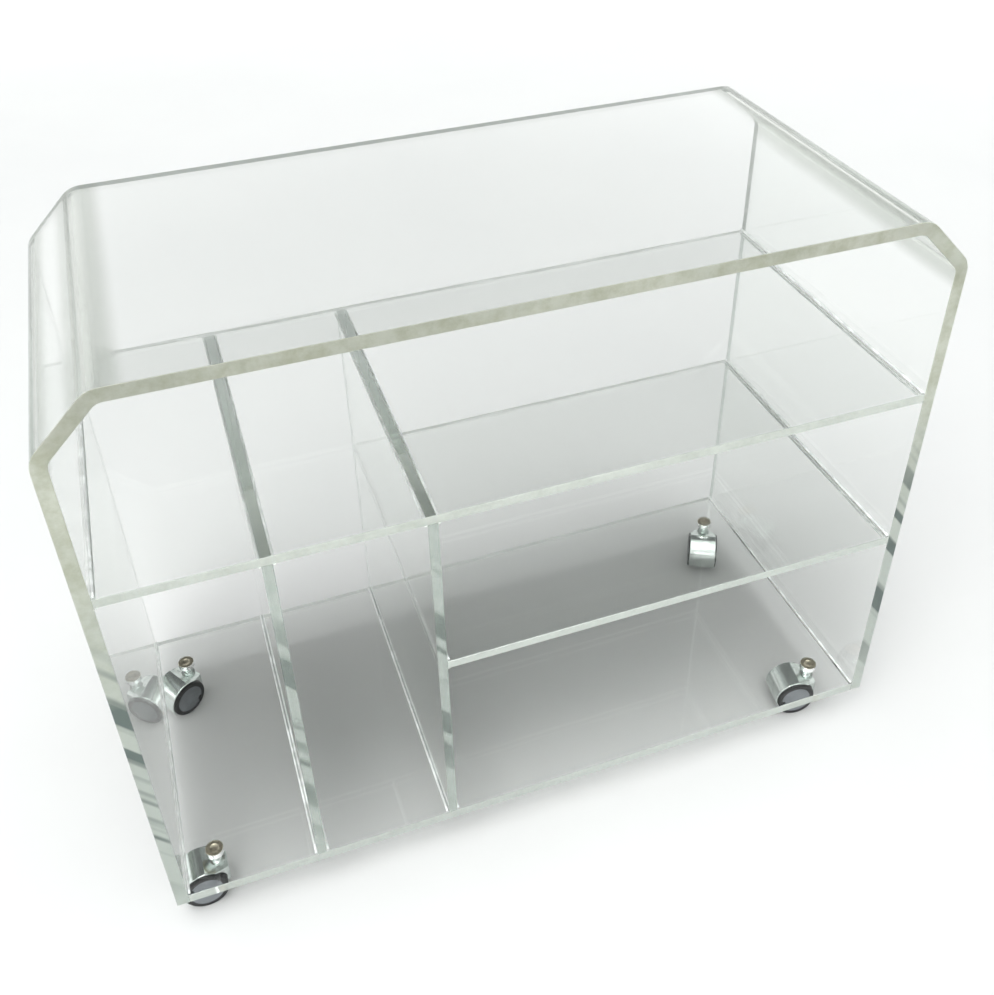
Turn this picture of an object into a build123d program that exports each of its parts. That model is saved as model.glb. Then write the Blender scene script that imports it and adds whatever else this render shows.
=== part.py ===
"""Clear acrylic serving cart: one bent sheet, shelves, dividers and four twin-wheel casters.

Millimetres. X runs along the width to the right, Y from the front to the back, Z up.
The origin is on the floor under the middle of the cart.
"""
import os
from math import cos, radians, sin, tan

from build123d import *

os.makedirs("parts", exist_ok=True)

# Bent sheet
cart_width = 760.0
cart_depth = 335.0
case_height = 595.0
sheet_thickness = 12.0
shoulder_leg = 48.0
shoulder_angle = 45.0
bend_radius = 12.0

# Flat boards
board_thickness = 9.0
plate_thickness = 11.0
bay_width = 126.0
upper_shelf_top = 412.0
lower_shelf_top = 235.0
cement_line = 0.1
edge_break = 0.5

# Casters
caster_height = 52.0
caster_inset = 42.1
caster_trail = 16.5
wheel_diameter = 43.0
wheel_inner_face = 7.6
wheel_outer_face = 18.2
tread_round = 2.0
cap_radius = 16.0
cap_seat_depth = 1.5
cap_dome = 0.7
notch_radius = 3.2
rim_thickness = 4.0
hub_radius = 6.5
clip_recess_depth = 2.3
wheel_hollow_depth = 5.0
axle_diameter = 5.0
axle_half_length = 16.4
clip_radius = 5.5
clip_thickness = 0.8

# Hood
hood_half_width = 16.4
hood_shell = 1.3
hood_wheel_gap = 0.6
hood_edge_round = 0.9
web_half_width = 7.0
hood_back_angle = -28.0
ridge_run = 2.0
facet_angle = 24.0
taper_start = 5.0
hood_front_reach = 9.0
hood_front_half_width = 9.0
web_drop = 6.0
boss_radius = 7.5
boss_top = 39.5
scallop_radius = 8.0

# Stem, socket and retainer
pivot_diameter = 8.0
shank_diameter = 11.0
collar_diameter = 14.0
collar_thickness = 2.0
neck_diameter = 9.6
neck_length = 1.5
socket_diameter = 17.5
socket_sink = 0.2
socket_bore_depth = 8.7
socket_dish_radius = 5.0
socket_dish_depth = 0.8
retainer_diameter = 12.0
retainer_thickness = 1.0
retainer_groove_depth = 0.8
pivot_tail = 1.6

# Clearances, all radial or axial per side
running_gap = 0.05
seat_gap = 0.05
thrust_gap = 0.2
retainer_gap = 0.4
clip_gap = 0.4
snap_gap = 0.1

# Which way each hood trails from its stem, in degrees from +X
caster_heading = {
    "front_left": 183.0,
    "front_right": 170.0,
    "back_left": 213.0,
    "back_right": 242.0,
}

# How far the wheels of each caster have turned, seen by the notch in the hub caps
wheel_turn = {
    "front_left": 250.0,
    "front_right": 290.0,
    "back_left": 55.0,
    "back_right": 130.0,
}

# Sizes that follow from the above
half_width = cart_width / 2
half_depth = cart_depth / 2
case_bottom = caster_height
case_top = case_bottom + case_height
plate_top = case_bottom + plate_thickness
upper_top = case_bottom + upper_shelf_top
upper_bottom = upper_top - board_thickness
lower_top = case_bottom + lower_shelf_top
inside_left = -half_width + sheet_thickness
inside_right = half_width - sheet_thickness
left_divider_x = inside_left + bay_width + board_thickness / 2
right_divider_x = left_divider_x + bay_width + board_thickness
wheel_radius = wheel_diameter / 2
axle_radius = axle_diameter / 2
hood_cavity_radius = wheel_radius + hood_wheel_gap
hood_radius = hood_cavity_radius + hood_shell
web_bottom = wheel_radius - web_drop
cap_floor = wheel_outer_face - cap_seat_depth
clip_floor = cap_floor - clip_recess_depth
socket_bore_radius = socket_diameter / 2 + seat_gap
socket_top = plate_top - socket_sink


def arch_outline(inset, foot):
    """Outline of the bent sheet, moved inward by inset and closed along the height foot."""
    setback = inset * tan(radians(shoulder_angle / 2))
    side = half_width - inset
    top = case_top - inset
    knee = case_top - shoulder_leg - setback
    crown = half_width - shoulder_leg - setback
    corners = [(-side, foot), (-side, knee), (-crown, top), (crown, top), (side, knee), (side, foot)]
    face = make_face(Polyline(*corners, close=True))
    bends = [v for v in face.vertices() if v.Y > foot + 1]
    return fillet(bends, bend_radius + sheet_thickness - inset)


def front_and_back_edges(solid):
    """Edges that frame the front and the back face of a sheet."""
    faces = solid.faces().filter_by(Axis.Y).sort_by(Axis.Y)
    return faces[0].edges() + faces[-1].edges()


def make_arch():
    section = arch_outline(0, case_bottom) - arch_outline(sheet_thickness, case_bottom - 1)
    arch = extrude(Plane.XZ * section, half_depth, both=True)
    return chamfer(front_and_back_edges(arch), edge_break)


def make_board(x0, x1, z0, z1, long_axis):
    """Flat board over the full depth, its front and back long edges broken."""
    middle = ((x0 + x1) / 2, 0, (z0 + z1) / 2)
    board = Pos(*middle) * Box(x1 - x0, cart_depth, z1 - z0)
    return chamfer(front_and_back_edges(board).filter_by(long_axis), edge_break)


def make_bottom_plate():
    plate = make_board(inside_left + cement_line, inside_right - cement_line, case_bottom, plate_top, Axis.X)
    for x, y in stem_places.values():
        plate -= Pos(x, y, 0) * upright(socket_bore_radius, case_bottom - 1, plate_top + 1)
    return plate


def upright(radius, z0, z1, x=0.0):
    """Upright cylinder between two heights."""
    return Pos(x, 0, (z0 + z1) / 2) * Cylinder(radius, z1 - z0)


def crosswise(radius, y0, y1):
    """Cylinder on the axle line between two distances from the caster's middle plane."""
    bar = Rot(90, 0, 0) * Cylinder(radius, y1 - y0)
    return Pos(caster_trail, (y0 + y1) / 2, wheel_radius) * bar


def make_socket():
    """Bush through the plate, blind from below, with a shallow dish in its top."""
    body = upright(socket_diameter / 2, case_bottom, socket_top)
    body = chamfer(body.edges().sort_by(Axis.Z)[-1], edge_break)
    dish = (socket_dish_radius**2 + socket_dish_depth**2) / (2 * socket_dish_depth)
    body -= Pos(0, 0, socket_top - socket_dish_depth + dish) * Sphere(dish)
    return body - upright(shank_diameter / 2 + seat_gap, case_bottom, case_bottom + socket_bore_depth)


def make_stem():
    collar_bottom = boss_top + thrust_gap
    collar_top = collar_bottom + collar_thickness
    shank_top = case_bottom + socket_bore_depth - thrust_gap
    groove_top = web_bottom - retainer_gap
    groove_bottom = groove_top - retainer_thickness
    stem = upright(shank_diameter / 2, collar_top, shank_top)
    stem = chamfer(stem.edges().sort_by(Axis.Z)[-1], edge_break)
    stem += upright(collar_diameter / 2, collar_bottom, collar_top)
    stem += upright(pivot_diameter / 2, groove_bottom - pivot_tail, collar_bottom)
    neck_middle = (collar_top + case_bottom) / 2
    ring = upright(shank_diameter, neck_middle - neck_length / 2, neck_middle + neck_length / 2)
    stem -= ring - upright(neck_diameter / 2, collar_top, case_bottom)
    groove = upright(pivot_diameter, groove_bottom - running_gap, groove_top + running_gap)
    stem -= groove - upright(pivot_diameter / 2 - retainer_groove_depth, 0, collar_bottom)
    return stem


def make_retainer():
    top = web_bottom - retainer_gap
    hole = pivot_diameter / 2 - retainer_groove_depth + running_gap
    ring = upright(retainer_diameter / 2, top - retainer_thickness, top)
    return ring - upright(hole, top - 2 * retainer_thickness, top + retainer_thickness)


def make_hood():
    """Half-round cover with a flat crown, a facet down to the stem boss and a web between the wheels."""
    crown = wheel_radius + hood_radius
    ridge_x = caster_trail - ridge_run
    facet_drop = (ridge_x + hood_front_reach) * tan(radians(facet_angle))

    def on_arc(angle):
        turn = radians(angle)
        return caster_trail + hood_radius * cos(turn), wheel_radius + hood_radius * sin(turn)

    lip = on_arc(hood_back_angle)
    back = ThreePointArc(lip, on_arc((hood_back_angle + 90) / 2), (caster_trail, crown))
    rest = Polyline(
        (caster_trail, crown),
        (ridge_x, crown),
        (-hood_front_reach, crown - facet_drop),
        (-hood_front_reach, web_bottom),
        (ridge_x, web_bottom),
        lip,
    )
    side_view = make_face(back + rest)
    hood = extrude(Plane.XZ * side_view, hood_half_width, both=True)
    far_end = caster_trail + hood_radius + 1
    plan = make_face(Polyline(
        (far_end, -hood_half_width),
        (taper_start, -hood_half_width),
        (-hood_front_reach, -hood_front_half_width),
        (-hood_front_reach, hood_front_half_width),
        (taper_start, hood_half_width),
        (far_end, hood_half_width),
        close=True,
    ))
    hood = hood & extrude(plan, crown + 1)
    flush_line = hood.edges().filter_by(Axis.Y).sort_by_distance((caster_trail, 0, crown))[0]
    upper = [e for e in hood.edges() if e.center().Z > web_bottom + hood_shell and e != flush_line]
    hood = fillet(upper, hood_edge_round)
    hood += upright(boss_radius, web_bottom, boss_top)
    hood -= upright(scallop_radius, boss_top, crown + 1)
    for y0, y1 in ((-hood_half_width - 1, -web_half_width), (web_half_width, hood_half_width + 1)):
        hood -= crosswise(hood_cavity_radius, y0, y1)
    hood -= upright(pivot_diameter / 2 + running_gap, 0, crown + 1)
    hood -= crosswise(axle_radius + seat_gap, -hood_half_width, hood_half_width)
    return hood


def make_axle():
    axle = crosswise(axle_radius, -axle_half_length, axle_half_length)
    return chamfer(axle.edges().filter_by(GeomType.CIRCLE), edge_break)


def turned(points):
    """Solid turned about the axle line from (distance along the axle, radius) points."""
    profile = make_face(Polyline(*points, close=True))
    return revolve(profile, Axis.X)


def on_axle(solid, side, turn):
    """Stand a turned solid on the axle line, its outer face on the given side."""
    return Pos(caster_trail, 0, wheel_radius) * Rot(0, 0, 90 * side) * Rot(turn, 0, 0) * solid


def make_wheel():
    bore = axle_radius + running_gap
    wheel = turned([
        (wheel_inner_face, bore),
        (wheel_inner_face, hub_radius),
        (wheel_inner_face + wheel_hollow_depth, hub_radius),
        (wheel_inner_face + wheel_hollow_depth, wheel_radius - rim_thickness),
        (wheel_inner_face, wheel_radius - rim_thickness),
        (wheel_inner_face, wheel_radius),
        (wheel_outer_face, wheel_radius),
        (wheel_outer_face, cap_radius + snap_gap),
        (cap_floor, cap_radius + snap_gap),
        (cap_floor, hub_radius),
        (clip_floor, hub_radius),
        (clip_floor, bore),
    ])
    rims = [e for e in wheel.edges().filter_by(GeomType.CIRCLE) if e.radius > wheel_radius - 0.01]
    rims.sort(key=lambda e: e.arc_center.X)
    wheel = fillet(rims[-1], tread_round)
    inner = [e for e in wheel.edges().filter_by(GeomType.CIRCLE) if e.radius > wheel_radius - 0.01]
    inner.sort(key=lambda e: e.arc_center.X)
    return fillet(inner[0], tread_round / 2)


def make_cap():
    """Shallow domed disc with a half-round notch in its rim for a blade to lift it."""
    dome_radius = (cap_radius**2 + cap_dome**2) / (2 * cap_dome)
    dome_centre = wheel_outer_face + cap_dome - dome_radius
    cap = upright(cap_radius, cap_floor, wheel_outer_face + cap_dome)
    cap = cap & Pos(0, 0, dome_centre) * Sphere(dome_radius)
    cap -= upright(notch_radius, cap_floor - 1, wheel_outer_face + 1, cap_radius)
    return Rot(0, 90, 0) * cap


def make_clip():
    start = clip_floor + clip_gap
    return turned([
        (start, axle_radius + seat_gap),
        (start, clip_radius),
        (start + clip_thickness, clip_radius),
        (start + clip_thickness, axle_radius + seat_gap),
    ])


stem_x = half_width - caster_inset
stem_y = half_depth - caster_inset
stem_places = {
    "front_left": (-stem_x, -stem_y),
    "front_right": (stem_x, -stem_y),
    "back_left": (-stem_x, stem_y),
    "back_right": (stem_x, stem_y),
}

nodes = {
    "arch_sheet": make_arch(),
    "bottom_plate": make_bottom_plate(),
    "upper_shelf": make_board(
        inside_left + cement_line, inside_right - cement_line, upper_bottom, upper_top, Axis.X
    ),
    "lower_shelf": make_board(
        right_divider_x + board_thickness / 2 + cement_line,
        inside_right - cement_line,
        lower_top - board_thickness,
        lower_top,
        Axis.X,
    ),
}
for name, x in (("left_divider", left_divider_x), ("right_divider", right_divider_x)):
    nodes[name] = make_board(
        x - board_thickness / 2,
        x + board_thickness / 2,
        plate_top + cement_line,
        upper_bottom - cement_line,
        Axis.Z,
    )

fixed_pieces = {
    "socket": make_socket(),
    "stem": make_stem(),
    "retainer": make_retainer(),
    "hood": make_hood(),
    "axle": make_axle(),
}
turned_pieces = {"wheel": make_wheel(), "hub_cap": make_cap(), "clip": make_clip()}
for corner, (x, y) in stem_places.items():
    place = Pos(x, y, 0) * Rot(0, 0, caster_heading[corner])
    for kind, solid in fixed_pieces.items():
        nodes[f"{corner}_{kind}"] = place * solid
    for label, side in (("a", 1), ("b", -1)):
        for kind, solid in turned_pieces.items():
            nodes[f"{corner}_{kind}_{label}"] = place * on_axle(solid, side, wheel_turn[corner])

for name, solid in nodes.items():
    export_step(solid, f"parts/{name}.step")
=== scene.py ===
import math

import bmesh
import bpy
from mathutils import Matrix, Quaternion, Vector, noise


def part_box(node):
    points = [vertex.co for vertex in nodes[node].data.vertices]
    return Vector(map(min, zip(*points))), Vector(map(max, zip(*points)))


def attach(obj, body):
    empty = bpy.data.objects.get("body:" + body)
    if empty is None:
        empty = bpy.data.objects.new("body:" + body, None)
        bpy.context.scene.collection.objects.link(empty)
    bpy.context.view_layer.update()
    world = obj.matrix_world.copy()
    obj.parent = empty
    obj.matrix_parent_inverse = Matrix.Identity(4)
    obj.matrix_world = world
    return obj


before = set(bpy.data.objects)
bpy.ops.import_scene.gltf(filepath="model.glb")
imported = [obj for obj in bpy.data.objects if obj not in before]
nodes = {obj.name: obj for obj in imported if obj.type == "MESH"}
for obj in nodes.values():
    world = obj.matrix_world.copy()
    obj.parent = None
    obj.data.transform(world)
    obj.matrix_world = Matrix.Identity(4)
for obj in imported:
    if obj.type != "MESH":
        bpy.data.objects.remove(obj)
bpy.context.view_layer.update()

corners = ("front_left", "front_right", "back_left", "back_right")
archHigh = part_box("arch_sheet")[1]
halfWidth = archHigh.x
halfDepth = archHigh.y
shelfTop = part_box("upper_shelf")[1].z
print("frame loaded:", len(nodes), "nodes")


# shared helpers

def linearColour(hexText):  # sRGB hex to the linear numbers that sockets take
    channels = [int(hexText[i:i + 2], 16) / 255 for i in (1, 3, 5)]
    linear = [c / 12.92 if c <= 0.04045 else ((c + 0.055) / 1.055) ** 2.4 for c in channels]
    return (*linear, 1.0)


def perMetre(sizeMm):  # texture scale for a pattern whose features are sizeMm across
    return 1000.0 / sizeMm


def addNode(tree, kind, inputs=None, **settings):  # one node with its settings, values and links
    made = tree.nodes.new("ShaderNode" + kind)
    for key, value in settings.items():
        setattr(made, key, value)
    for key, value in (inputs or {}).items():
        if isinstance(value, bpy.types.Node):  # a node stands for its first live output
            value = next(s for s in value.outputs if s.enabled)
        if isinstance(value, bpy.types.NodeSocket):
            tree.links.new(value, made.inputs[key])
        else:
            made.inputs[key].default_value = value
    return made


def remap(tree, value, source=(0.0, 1.0), target=(0.0, 1.0), **settings):  # one range of values onto another
    limits = {"From Min": source[0], "From Max": source[1], "To Min": target[0], "To Max": target[1]}
    return addNode(tree, "MapRange", {"Value": value, **limits}, **settings)


def maths(tree, operation, *values):
    return addNode(tree, "Math", dict(enumerate(values)), operation=operation)


def mixTones(tree, factor, first, second):  # tones are hex texts or nodes
    first, second = [linearColour(t) if isinstance(t, str) else t for t in (first, second)]
    return addNode(tree, "Mix", {"Factor": factor, "A": first, "B": second}, data_type="RGBA")


def mixLevels(tree, factor, first, second):
    return addNode(tree, "Mix", {"Factor": factor, "A": first, "B": second})


def clouds(tree, place, sizeMm, detail=2.0, roughness=0.5):
    return addNode(tree, "TexNoise", {"Vector": place, "Scale": perMetre(sizeMm), "Detail": detail,
                                      "Roughness": roughness})


def newMaterial(name):
    material = bpy.data.materials.new(name)
    material.use_nodes = True
    tree = material.node_tree
    tree.nodes.clear()
    place = addNode(tree, "TexCoord").outputs["Object"]
    return material, tree, place


def addBump(tree, height, look):
    return addNode(tree, "Bump", {"Height": height, "Strength": look["bump"], "Distance": look["bumpDepth"]})


def addSkin(tree, tone, dull, height, look, metallic=0.0):  # an opaque surface and the material's output
    shader = addNode(tree, "BsdfPrincipled", {"Base Color": tone, "Roughness": dull, "Metallic": metallic,
                                              "Normal": addBump(tree, height, look)})
    addNode(tree, "OutputMaterial", {"Surface": shader})


def dress(nodeNames, material):  # a CAD node keeps its mesh and takes the finish
    for name in nodeNames:
        nodes[name].data.materials.clear()
        nodes[name].data.materials.append(material)


def addPiece(mesh, name, material):  # a finished bmesh becomes an object at the origin
    bmesh.ops.recalc_face_normals(mesh, faces=mesh.faces)
    mesh.verts.index_update()
    inOrder = sorted(mesh.faces, key=lambda face: sorted(v.index for v in face.verts))
    for i, face in enumerate(inOrder):  # the operators list new faces in no fixed order
        face.index = i
    mesh.faces.sort()
    data = bpy.data.meshes.new(name)
    mesh.to_mesh(data)
    mesh.free()
    piece = bpy.data.objects.new(name, data)
    bpy.context.scene.collection.objects.link(piece)
    data.materials.append(material)
    return piece


# camera at the photograph's angle

camera = {
    "place": (-0.2629, -0.8144, 1.0627),
    "aim": (0.0048, 0.0, 0.4572),
    "rollDegrees": -1.57,
    "lensMm": 39.91,
    "sensorMm": 36.0,
    "shift": (0.0065, -0.1146),
    "nearest": 0.02,
}


def addCamera():
    data = bpy.data.cameras.new("camera")
    data.sensor_fit = "HORIZONTAL"
    data.sensor_width = camera["sensorMm"]
    data.lens = camera["lensMm"]
    data.shift_x, data.shift_y = camera["shift"]
    data.clip_start = camera["nearest"]
    viewer = bpy.data.objects.new("camera", data)
    sight = Vector(camera["aim"]) - Vector(camera["place"])
    roll = Quaternion((0, 0, 1), math.radians(camera["rollDegrees"]))
    viewer.rotation_mode = "QUATERNION"
    viewer.rotation_quaternion = sight.to_track_quat("-Z", "Y") @ roll
    viewer.location = camera["place"]
    bpy.context.scene.collection.objects.link(viewer)
    bpy.context.scene.camera = viewer


addCamera()
print("camera placed")


# studio: pale floor that turns up into a low cove, a soft bright dome with one darker patch

studio = {
    "flatRadius": 2.6,
    "coveRadius": 0.8,
    "coveTop": 1.0,
    "steps": 96,
    "coveSteps": 16,
    "weld": 1e-5,
    "floorColour": "#d9d9d7",
    "floorDust": "#d3d3d2",
    "mottleMm": 400.0,
    "gritMm": 6.0,
    "dull": (0.7, 0.8),
    "bump": 0.05,
    "bumpDepth": 0.001,
}
dome = {
    "strength": 1.62,
    "bands": ((0.0, "#f6f6f5"), (0.3, "#eff0f0"), (0.55, "#969899"), (1.0, "#b6b8b9")),
    "glows": {
        "key": {"toward": (-0.35, -0.55, 0.76), "full": 0.93, "none": 0.6, "gain": 3.0},
        "window": {"toward": (-0.93, 0.1, 0.35), "full": 0.96, "none": 0.84, "gain": 1.6},
        "skylight": {"toward": (0.0, -0.1, 1.0), "full": 0.975, "none": 0.89, "gain": 5.4},
    },
    "shade": {"toward": (0.16, 0.6, 0.79), "full": 0.95, "none": 0.79, "depth": 0.8},
}
softBox = {"place": (-0.8, -1.1, 2.3), "aim": (0, 0, 0.3), "size": 0.9, "watts": 18.0}
lightPaths = {"clear": 64, "diffuse": 4}  # light zigzags along a board some twenty times before it leaves


def floorPaint():  # matt painted board: nearly even, with a faint mottle
    material, tree, place = newMaterial("matt_pale_board")
    mottle = clouds(tree, place, studio["mottleMm"], detail=4.0)
    tone = mixTones(tree, mottle, studio["floorDust"], studio["floorColour"])
    grit = clouds(tree, place, studio["gritMm"])
    addSkin(tree, tone, remap(tree, grit, target=studio["dull"]), grit, studio)
    return material


def addFloor():
    mesh = bmesh.new()
    middle = mesh.verts.new((0, 0, 0))
    bend = mesh.verts.new((studio["flatRadius"], 0, 0))
    hub = Vector((studio["flatRadius"], 0, studio["coveRadius"]))
    bmesh.ops.spin(mesh, geom=[bend], cent=hub, axis=(0, -1, 0), angle=math.pi / 2, steps=studio["coveSteps"])
    mesh.edges.new((middle, bend))
    rim = max(mesh.verts, key=lambda v: v.co.z)
    wall = mesh.verts.new((rim.co.x, 0, studio["coveTop"]))
    mesh.edges.new((rim, wall))
    bmesh.ops.spin(mesh, geom=mesh.verts[:] + mesh.edges[:], cent=(0, 0, 0), axis=(0, 0, 1),
                   angle=math.tau, steps=studio["steps"], use_merge=True)
    bmesh.ops.remove_doubles(mesh, verts=mesh.verts, dist=studio["weld"])
    floor = addPiece(mesh, "floor", floorPaint())
    flattest = max(floor.data.polygons, key=lambda face: abs(face.normal.z))  # not the upright wall
    if flattest.normal.z < 0:
        floor.data.flip_normals()
    floor.data.shade_smooth()


def aroundSpot(tree, sight, spot, target):  # one level at a spot of the dome, fading to another around it
    toward = Vector(spot["toward"]).normalized()
    near = addNode(tree, "VectorMath", {0: sight, 1: toward}, operation="DOT_PRODUCT")
    return remap(tree, near, (spot["none"], spot["full"]), target, interpolation_type="SMOOTHSTEP")


def addDome():
    world = bpy.data.worlds.new("studio_dome")
    world.use_nodes = True
    tree = world.node_tree
    tree.nodes.clear()
    place = addNode(tree, "TexCoord").outputs["Generated"]
    sight = addNode(tree, "VectorMath", {0: place}, operation="NORMALIZE")
    height = addNode(tree, "SeparateXYZ", {"Vector": sight}).outputs["Z"]
    bands = addNode(tree, "ValToRGB", {"Fac": height})
    stops = bands.color_ramp.elements
    while len(stops) < len(dome["bands"]):
        stops.new(0.5)
    for stop, (position, colour) in zip(stops, dome["bands"]):
        stop.position = position
        stop.color = linearColour(colour)
    level = dome["strength"]
    for glow in dome["glows"].values():
        level = maths(tree, "ADD", level, aroundSpot(tree, sight, glow, (0.0, glow["gain"])))
    shade = dome["shade"]
    level = maths(tree, "MULTIPLY", level, aroundSpot(tree, sight, shade, (1.0, 1.0 - shade["depth"])))
    glowing = addNode(tree, "Background", {"Color": bands, "Strength": level})
    addNode(tree, "OutputWorld", {"Surface": glowing})
    bpy.context.scene.world = world


def addSoftBox():
    data = bpy.data.lights.new("soft_box", "AREA")
    data.shape = "SQUARE"
    data.size = softBox["size"]
    data.energy = softBox["watts"]
    lamp = bpy.data.objects.new("soft_box", data)
    sight = Vector(softBox["aim"]) - Vector(softBox["place"])
    lamp.location = softBox["place"]
    lamp.rotation_mode = "QUATERNION"
    lamp.rotation_quaternion = sight.to_track_quat("-Z", "Y")
    bpy.context.scene.collection.objects.link(lamp)


addFloor()
addDome()
addSoftBox()
scene = bpy.context.scene
scene.view_settings.view_transform = "Standard"
scene.cycles.max_bounces = lightPaths["clear"]
scene.cycles.transmission_bounces = lightPaths["clear"]
scene.cycles.glossy_bounces = lightPaths["clear"]
scene.cycles.diffuse_bounces = lightPaths["diffuse"]
scene.cycles.use_denoising = True
print("studio lit")


# clear acrylic sheets; a pair named Keep says where a pattern starts and where it is full

sheet = {
    "tint": "#fefffe",
    "bendPaintedShade": "#dcdfda",  # where the sheet was heated to bend it; the grey is painted shade standing in for the grey surround seen blurred through the bends
    "hazeDull": 0.1,
    "bendReachMm": 30.0,
    "shoulderMm": 48.0,
    "bodyColour": "#bed0bc",
    "bodyDensity": 1.0,
    "ior": 1.491,
    "bump": 0.25,
    "bumpDepth": 0.0002,
    "waveMm": 85.0,
    "smudgeMm": 60.0,
    "smudgeKeep": (0.5, 0.8),
    "smudgeDull": 0.03,
    "scratchLengthMm": 70.0,
    "scratchWidthMm": 0.9,
    "scratchTurns": (20.0, -50.0),
    "scratchKeep": (0.73, 0.8),
    "scratchDull": 0.12,
    "scratchHeight": -0.05,
    "edgeFrom": 0.0007,  # depth below the front and back faces where the cut edge starts
    "edgeFull": 0.0003,
    "chalky": 0.4,  # share of the scattered light that an edge throws back
    "edgeGrainMm": 1.1,
    "edgeGrainHeight": 0.05,
    "edgeMottleMm": 16.0,
    "stainKeep": (0.4, 0.65),
    "patchKeep": (0.35, 0.6),
    "patchLeast": 0.7,  # a patch keeps this share of the edge's dullness
    "edgeSawMm": 5.0,
    "edgeDriftMm": 140.0,
    "wornKeep": (0.8, 1.15),
    "wornGain": 0.3,
    "rearShadeFade": 0.02,  # height below the upper shelf's top over which the rear edge fades into its painted shade above
    "glintMm": 44.0,  # flame-polished flats along a cut edge, smoother than the sawn edge and tinted dark as a painted reflection of dark surroundings
    "glintKeep": (0.49, 0.56),
    "glintSlant": 1.3,
    "glintPaintedReflection": "#4d5c5b",
    "glintDull": 0.28,
    "glintRise": (0.06, 0.17),
    "glintFall": (0.43, 0.34),
}
bentLook = {  # sawn and scraped edge, yellowed above, clearer below; its rear edge carries painted shade above the upper shelf, and its lower front flats a dark painted reflection
    "edgeTint": "#e6e6d6", "edgeStain": "#c9c9b1", "lowTint": "#eaefe9",
    "backTint": "#e6ebe8", "backPaintedShade": "#b4b9b4",
    "frontFrost": 0.26, "backFrost": 0.1, "frontGlow": 0.18, "backGlow": 0.88,
    "frontDull": 0.42, "lowDull": 0.4, "backDull": 0.95,
    "patchy": 0.5, "lowShare": 0.6, "lowFrom": 0.25, "lowTo": 0.5, "glint": 1.0,
}
boardLook = {  # evenly scraped edge
    "edgeTint": "#eff2ec", "edgeStain": "#e0e5dc", "lowTint": "#eef3ee",
    "backTint": "#f2f5f1", "backPaintedShade": "#f2f5f1",
    "frontFrost": 0.26, "backFrost": 0.1, "frontGlow": 0.18, "backGlow": 0.9,
    "frontDull": 0.25, "lowDull": 0.25, "backDull": 0.95,
    "patchy": 0.2, "lowShare": 1.0, "lowFrom": 0.25, "lowTo": 0.5, "glint": 0.0,
}
dividerLook = {  # edge polished after the cut, so darker and more like glass; its flats carry much of the dark painted reflection
    "edgeTint": "#eef3ef", "edgeStain": "#dbe4de", "lowTint": "#edf3ef",
    "backTint": "#eef3f0", "backPaintedShade": "#eef3f0",
    "frontFrost": 0.12, "backFrost": 0.1, "frontGlow": 0.08, "backGlow": 0.9,
    "frontDull": 0.12, "lowDull": 0.08, "backDull": 0.95,
    "patchy": 0.3, "lowShare": 0.6, "lowFrom": 0.2, "lowTo": 0.4, "glint": 0.8,
}


def wipedFaces(tree, place):  # dullness and height of the clear faces: waves, smears, two lays of scratches
    wave = clouds(tree, place, sheet["waveMm"], detail=1.0)
    smudge = clouds(tree, place, sheet["smudgeMm"], detail=5.0)
    smear = remap(tree, smudge, sheet["smudgeKeep"], (0.0, sheet["smudgeDull"]))
    across = perMetre(sheet["scratchWidthMm"])
    along = perMetre(sheet["scratchLengthMm"])
    scratch = 0.0
    for turn in sheet["scratchTurns"]:
        lay = addNode(tree, "Mapping", {"Vector": place, "Rotation": (math.radians(turn),) * 3,
                                        "Scale": (along, across, across)})
        lines = addNode(tree, "TexNoise", {"Vector": lay, "Scale": 1.0, "Detail": 0.0})
        scratch = maths(tree, "MAXIMUM", scratch, remap(tree, lines, sheet["scratchKeep"]))
    dull = maths(tree, "MULTIPLY_ADD", scratch, sheet["scratchDull"], smear)
    height = maths(tree, "MULTIPLY_ADD", scratch, sheet["scratchHeight"], wave)
    return dull, height


def bendHaze(tree, axes):  # 1 along the hot-bent lines, fading out beside them
    side = maths(tree, "ABSOLUTE", axes["X"])
    section = addNode(tree, "CombineXYZ", {"X": side, "Z": axes["Z"]})
    leg = sheet["shoulderMm"] / 1000
    reach = sheet["bendReachMm"] / 1000
    haze = 0.0
    for x, z in ((halfWidth - leg, archHigh.z), (halfWidth, archHigh.z - leg)):
        away = addNode(tree, "VectorMath", {0: section, 1: (x, 0.0, z)}, operation="DISTANCE")
        near = remap(tree, away, (reach, reach / 2), interpolation_type="SMOOTHSTEP")
        haze = maths(tree, "MAXIMUM", haze, near)
    return haze


def edgeGlints(tree, axes, back, look):  # slanted flats on the lower front edge, 1 where polished and where the dark painted reflection goes
    slant = maths(tree, "MULTIPLY_ADD", axes["X"], sheet["glintSlant"], axes["Z"])
    flats = addNode(tree, "TexNoise", {"W": slant, "Scale": perMetre(sheet["glintMm"]), "Detail": 2.0},
                    noise_dimensions="1D")
    glint = remap(tree, flats, sheet["glintKeep"], (0.0, look["glint"]))
    for limits in (sheet["glintRise"], sheet["glintFall"]):
        glint = maths(tree, "MULTIPLY", glint, remap(tree, axes["Z"], limits))
    return mixLevels(tree, back, glint, 0.0)


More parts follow.
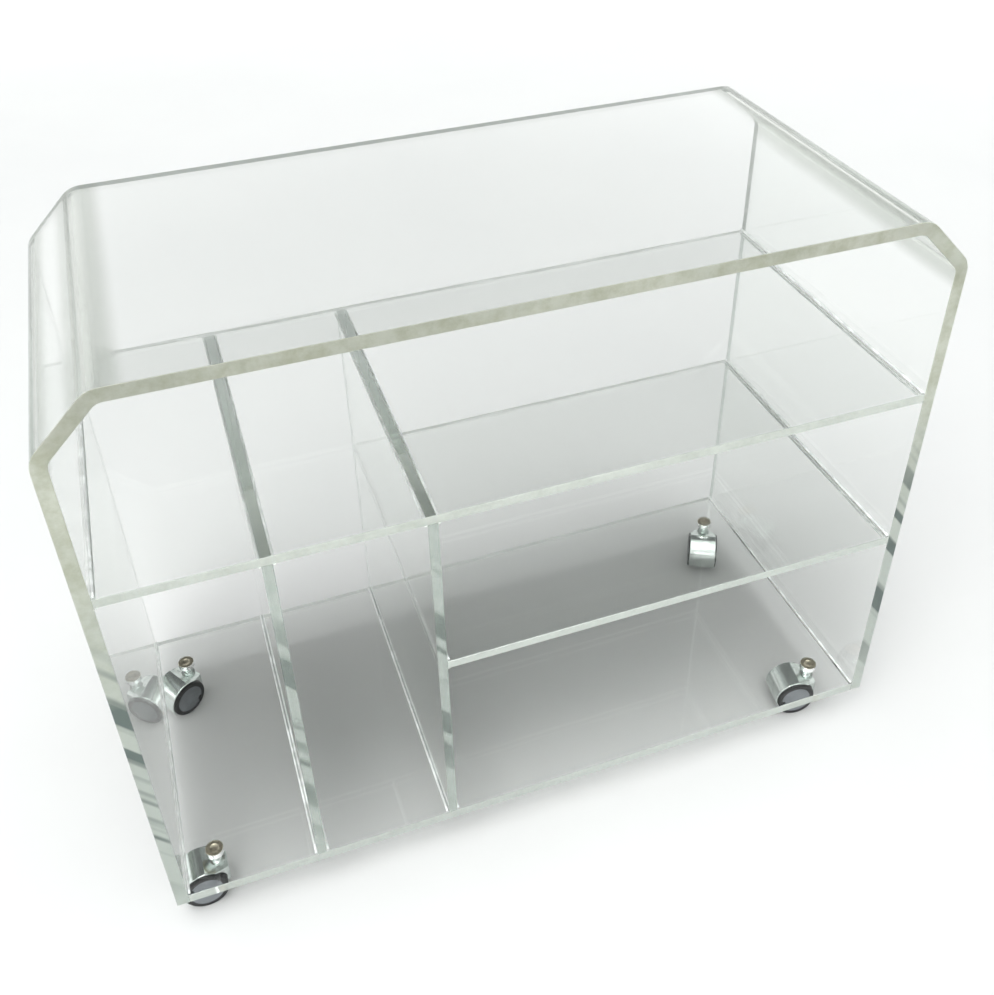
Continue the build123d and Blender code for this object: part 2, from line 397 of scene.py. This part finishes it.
def cutEdges(tree, place, axes, look):  # tone, dullness, height, frost and glow of the cut edges
    back = maths(tree, "GREATER_THAN", axes["Y"], 0.0)
    rise = remap(tree, axes["Z"], (look["lowFrom"], look["lowTo"]))
    glint = edgeGlints(tree, axes, back, look)
    matt = maths(tree, "SUBTRACT", 1.0, glint)
    grain = clouds(tree, place, sheet["edgeGrainMm"], detail=4.0)
    mottle = clouds(tree, place, sheet["edgeMottleMm"], detail=5.0, roughness=0.65)
    saw = clouds(tree, place, sheet["edgeSawMm"], detail=6.0, roughness=0.7)
    drift = clouds(tree, place, sheet["edgeDriftMm"])

    stain = remap(tree, mottle, sheet["stainKeep"])
    tone = mixTones(tree, stain, look["edgeTint"], look["edgeStain"])
    tone = mixTones(tree, rise, look["lowTint"], tone)
    # painted reflection: the polished flats are tinted dark as if they showed dark surroundings
    tone = mixTones(tree, glint, tone, sheet["glintPaintedReflection"])
    # painted shade: above the upper shelf's top the rear edge takes a darker tone, as if it saw dark
    # surroundings behind
    high = remap(tree, axes["Z"], (shelfTop - sheet["rearShadeFade"], shelfTop))
    rear = mixTones(tree, high, look["backTint"], look["backPaintedShade"])
    tone = mixTones(tree, back, tone, rear)

    patch = remap(tree, mottle, sheet["patchKeep"], (sheet["patchLeast"], 1.0))
    dull = remap(tree, rise, target=(look["lowDull"], look["frontDull"]))
    dull = mixLevels(tree, back, dull, look["backDull"])
    dull = maths(tree, "MULTIPLY", dull, patch)
    dull = mixLevels(tree, glint, dull, sheet["glintDull"])

    height = maths(tree, "MULTIPLY_ADD", grain, sheet["edgeGrainHeight"], mottle)

    worn = maths(tree, "ADD", saw, drift)
    patchiness = (1.0 - look["patchy"], 1.0 + sheet["wornGain"] * look["patchy"])
    cloud = remap(tree, worn, sheet["wornKeep"], patchiness)
    share = remap(tree, rise, target=(look["lowShare"], 1.0))
    share = maths(tree, "MULTIPLY", share, matt)
    frost = maths(tree, "MULTIPLY", share, look["frontFrost"])
    frost = mixLevels(tree, back, frost, look["backFrost"])
    frost = maths(tree, "MULTIPLY", frost, cloud)
    glow = maths(tree, "MULTIPLY", share, look["frontGlow"])
    glow = mixLevels(tree, back, glow, look["backGlow"])
    return tone, dull, height, frost, glow


def castAcrylic(name, look, bent):  # cast acrylic: clear faces, and sawn edges that are frosted and glow
    material, tree, place = newMaterial(name)
    axes = addNode(tree, "SeparateXYZ", {"Vector": place}).outputs
    depth = maths(tree, "ABSOLUTE", axes["Y"])
    cut = remap(tree, depth, (halfDepth - sheet["edgeFrom"], halfDepth - sheet["edgeFull"]))
    faceDull, faceHeight = wipedFaces(tree, place)
    edgeTone, edgeDull, edgeHeight, frost, glow = cutEdges(tree, place, axes, look)
    faceTone = sheet["tint"]
    if bent:
        haze = bendHaze(tree, axes)
        faceDull = maths(tree, "MULTIPLY_ADD", haze, sheet["hazeDull"], faceDull)
        # painted shade: the faces are tinted grey along the bends, while the matt haze added above is the
        # real heat-bent finish
        faceTone = mixTones(tree, haze, faceTone, sheet["bendPaintedShade"])
    tone = mixTones(tree, cut, faceTone, edgeTone)
    dull = mixLevels(tree, cut, faceDull, edgeDull)
    bump = addBump(tree, mixLevels(tree, cut, faceHeight, edgeHeight), sheet)
    clear = maths(tree, "SUBTRACT", 1.0, maths(tree, "MULTIPLY", cut, frost))
    glow = maths(tree, "MULTIPLY", cut, glow)
    shader = addNode(tree, "BsdfPrincipled", {"Base Color": tone, "Roughness": dull, "Normal": bump,
                                              "Transmission Weight": clear, "IOR": sheet["ior"]})
    through = addNode(tree, "BsdfTranslucent", {"Color": edgeTone, "Normal": bump})
    chalky = addNode(tree, "BsdfDiffuse", {"Color": edgeTone, "Normal": bump})
    scatter = addNode(tree, "MixShader", {0: sheet["chalky"], 1: through, 2: chalky})
    surface = addNode(tree, "MixShader", {0: glow, 1: shader, 2: scatter})
    body = addNode(tree, "VolumeAbsorption", {"Color": linearColour(sheet["bodyColour"]),
                                              "Density": sheet["bodyDensity"]})
    addNode(tree, "OutputMaterial", {"Surface": surface, "Volume": body})
    return material


dress(["arch_sheet"], castAcrylic("clear_acrylic_bent_sheet", bentLook, True))
dress(["bottom_plate", "upper_shelf", "lower_shelf"], castAcrylic("clear_acrylic_board", boardLook, False))
dress(["left_divider", "right_divider"], castAcrylic("clear_acrylic_polished_edge", dividerLook, False))
print("acrylic sheets dressed")


# cement squeezed out along the joints

bead = {
    "radius": 0.0012,
    "clear": 0.00004,
    "step": 0.006,
    "waver": 0.06,
    "waverAlong": 0.35,  # noise travelled at each step, and between joints in each metre
    "waverApart": 40,
    "sides": 8,
    "endGap": 0.0015,
    "colour": "#fbfdfb",
    "thin": "#eef3ef",
    "cloudMm": 5.0,
    "cloudKeep": (0.35, 0.55),
    "dull": (0.28, 0.4),
    "bump": 0.2,
    "bumpDepth": 0.0002,
}


def driedCement():  # solvent cement dried milky white, satin with thinner clear spots
    material, tree, place = newMaterial("milky_acrylic_cement")
    cloud = clouds(tree, place, bead["cloudMm"], detail=3.0)
    tone = mixTones(tree, remap(tree, cloud, bead["cloudKeep"]), bead["thin"], bead["colour"])
    addSkin(tree, tone, remap(tree, cloud, target=bead["dull"]), cloud, bead)
    return material


def addBead(mesh, x, z, openX, openZ):  # along the inside corner at x, z; the signs say which side is open
    length = 2 * (halfDepth - bead["endGap"])
    steps = round(length / bead["step"])
    offset = bead["radius"] + bead["clear"]
    corner = Vector((x + openX * bead["clear"], -length / 2, z + openZ * bead["clear"]))
    middle = Vector((x + openX * offset, -length / 2, z + openZ * offset))
    stand = Matrix.Translation(middle) @ Matrix.Rotation(math.pi / 2, 4, "X")
    ring = bmesh.ops.create_circle(mesh, cap_ends=True, segments=bead["sides"], radius=bead["radius"],
                                   matrix=stand)
    face = ring["verts"][0].link_faces[0]
    apart = bead["waverApart"]
    grown = 1.0
    for i in range(steps):
        made = bmesh.ops.extrude_face_region(mesh, geom=[face])["geom"]
        ring = [v for v in made if isinstance(v, bmesh.types.BMVert)]
        face = next(f for f in made if isinstance(f, bmesh.types.BMFace))
        bmesh.ops.translate(mesh, verts=ring, vec=(0, length / steps, 0))
        size = 1.0 + bead["waver"] * noise.noise(Vector((apart * x, bead["waverAlong"] * i, apart * z)))
        growth = (size / grown, 1, size / grown)
        bmesh.ops.scale(mesh, verts=ring, vec=growth, space=Matrix.Translation(-corner))
        grown = size


def addCement(node, ends, levels, material):  # beads where a board or an upright meets another sheet
    mesh = bmesh.new()
    for x, openX in ends:
        for z, openZ in levels:
            addBead(mesh, x, z, openX, openZ)
    piece = addPiece(mesh, node + "_cement", material)
    piece.data.shade_smooth()
    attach(piece, "case")


cement = driedCement()
for node in ("bottom_plate", "upper_shelf", "lower_shelf"):
    low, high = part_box(node)
    levels = [(high.z, 1)]
    if node != "bottom_plate":
        levels.append((low.z, -1))  # the plate is flush with the sides below, so it has no corner there
    addCement(node, ((low.x, 1), (high.x, -1)), levels, cement)
for node in ("left_divider", "right_divider"):
    low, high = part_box(node)
    addCement(node, ((low.x, -1), (high.x, 1)), ((low.z, 1), (high.z, -1)), cement)
print("cement beads laid")


# casters

# the chrome's grey carries a cool green tint, a painted reflection of the acrylic above and the grey surround
chrome = {
    "colour": "#d6dcd9", "tarnish": "#b4bbb7", "cloudMm": 9.0, "brightKeep": (0.25, 0.48),
    "dullKeep": (0.3, 0.7), "dull": (0.26, 0.18), "pitMm": 0.7, "pitKeep": (0.05, 0.2),
    "bump": 0.06, "bumpDepth": 0.0001,
}
turned = {"cleanKeep": (0.3, 0.6), "dull": (0.36, 0.28), "bump": 0.1, "bumpDepth": 0.0001}
brass = {"colour": "#d0c8b2", "dark": "#9c9584", "cloudMm": 3.0}
steel = {"colour": "#b2b3b0", "dark": "#7d7e7c", "cloudMm": 2.5}
nylon = {
    "colour": "#0c0e0f", "dust": "#2a2b2b", "scuffMm": 4.0, "dustKeep": (0.52, 0.8),
    "dull": (0.28, 0.55), "grainMm": 0.6, "bump": 0.12, "bumpDepth": 0.0001,
}
hubCap = {
    "colour": "#74787c", "worn": "#7f8387", "cloudMm": 12.0, "wornKeep": (0.45, 0.75),
    "dull": (0.17, 0.25), "grainMm": 0.5, "bump": 0.05, "bumpDepth": 0.0001,
}


def chromePlate():  # bright chrome on a zinc casting: mirror-like, a little cloudy, with pin-prick pits; its cool green-grey tone is partly a painted reflection of the green acrylic and grey surround
    material, tree, place = newMaterial("chrome_plated_zinc")
    cloud = clouds(tree, place, chrome["cloudMm"], detail=4.0)
    tone = mixTones(tree, remap(tree, cloud, chrome["brightKeep"]), chrome["tarnish"], chrome["colour"])
    dull = remap(tree, cloud, chrome["dullKeep"], chrome["dull"])
    pits = addNode(tree, "TexVoronoi", {"Vector": place, "Scale": perMetre(chrome["pitMm"])})
    addSkin(tree, tone, dull, remap(tree, pits, chrome["pitKeep"]), chrome, metallic=1.0)
    return material


def turnedMetal(name, look):  # brass or zinc-plated steel off the lathe: satin, slightly stained
    material, tree, place = newMaterial(name)
    cloud = clouds(tree, place, look["cloudMm"], detail=5.0)
    tone = mixTones(tree, remap(tree, cloud, turned["cleanKeep"]), look["dark"], look["colour"])
    addSkin(tree, tone, remap(tree, cloud, target=turned["dull"]), cloud, turned, metallic=1.0)
    return material


def blackNylon():  # moulded nylon tread: black, satin, dusty where it has rolled
    material, tree, place = newMaterial("black_nylon_moulded")
    scuff = clouds(tree, place, nylon["scuffMm"], detail=6.0, roughness=0.7)
    tone = mixTones(tree, remap(tree, scuff, nylon["dustKeep"]), nylon["colour"], nylon["dust"])
    grain = clouds(tree, place, nylon["grainMm"])
    addSkin(tree, tone, remap(tree, scuff, target=nylon["dull"]), grain, nylon)
    return material


def greyCap():  # grey ABS cap: smooth and glossy, lightly worn
    material, tree, place = newMaterial("grey_abs_moulded")
    wear = clouds(tree, place, hubCap["cloudMm"], detail=6.0)
    tone = mixTones(tree, remap(tree, wear, hubCap["wornKeep"]), hubCap["colour"], hubCap["worn"])
    grain = clouds(tree, place, hubCap["grainMm"], detail=1.0)
    addSkin(tree, tone, remap(tree, wear, target=hubCap["dull"]), grain, hubCap)
    return material


finishes = {
    ("hood", "stem"): chromePlate(),
    ("socket",): turnedMetal("turned_brass", brass),
    ("axle", "retainer", "clip_a", "clip_b"): turnedMetal("zinc_plated_steel", steel),
    ("wheel_a", "wheel_b"): blackNylon(),
    ("hub_cap_a", "hub_cap_b"): greyCap(),
}
for kinds, finish in finishes.items():
    dress([f"{corner}_{kind}" for corner in corners for kind in kinds], finish)
print("casters dressed")
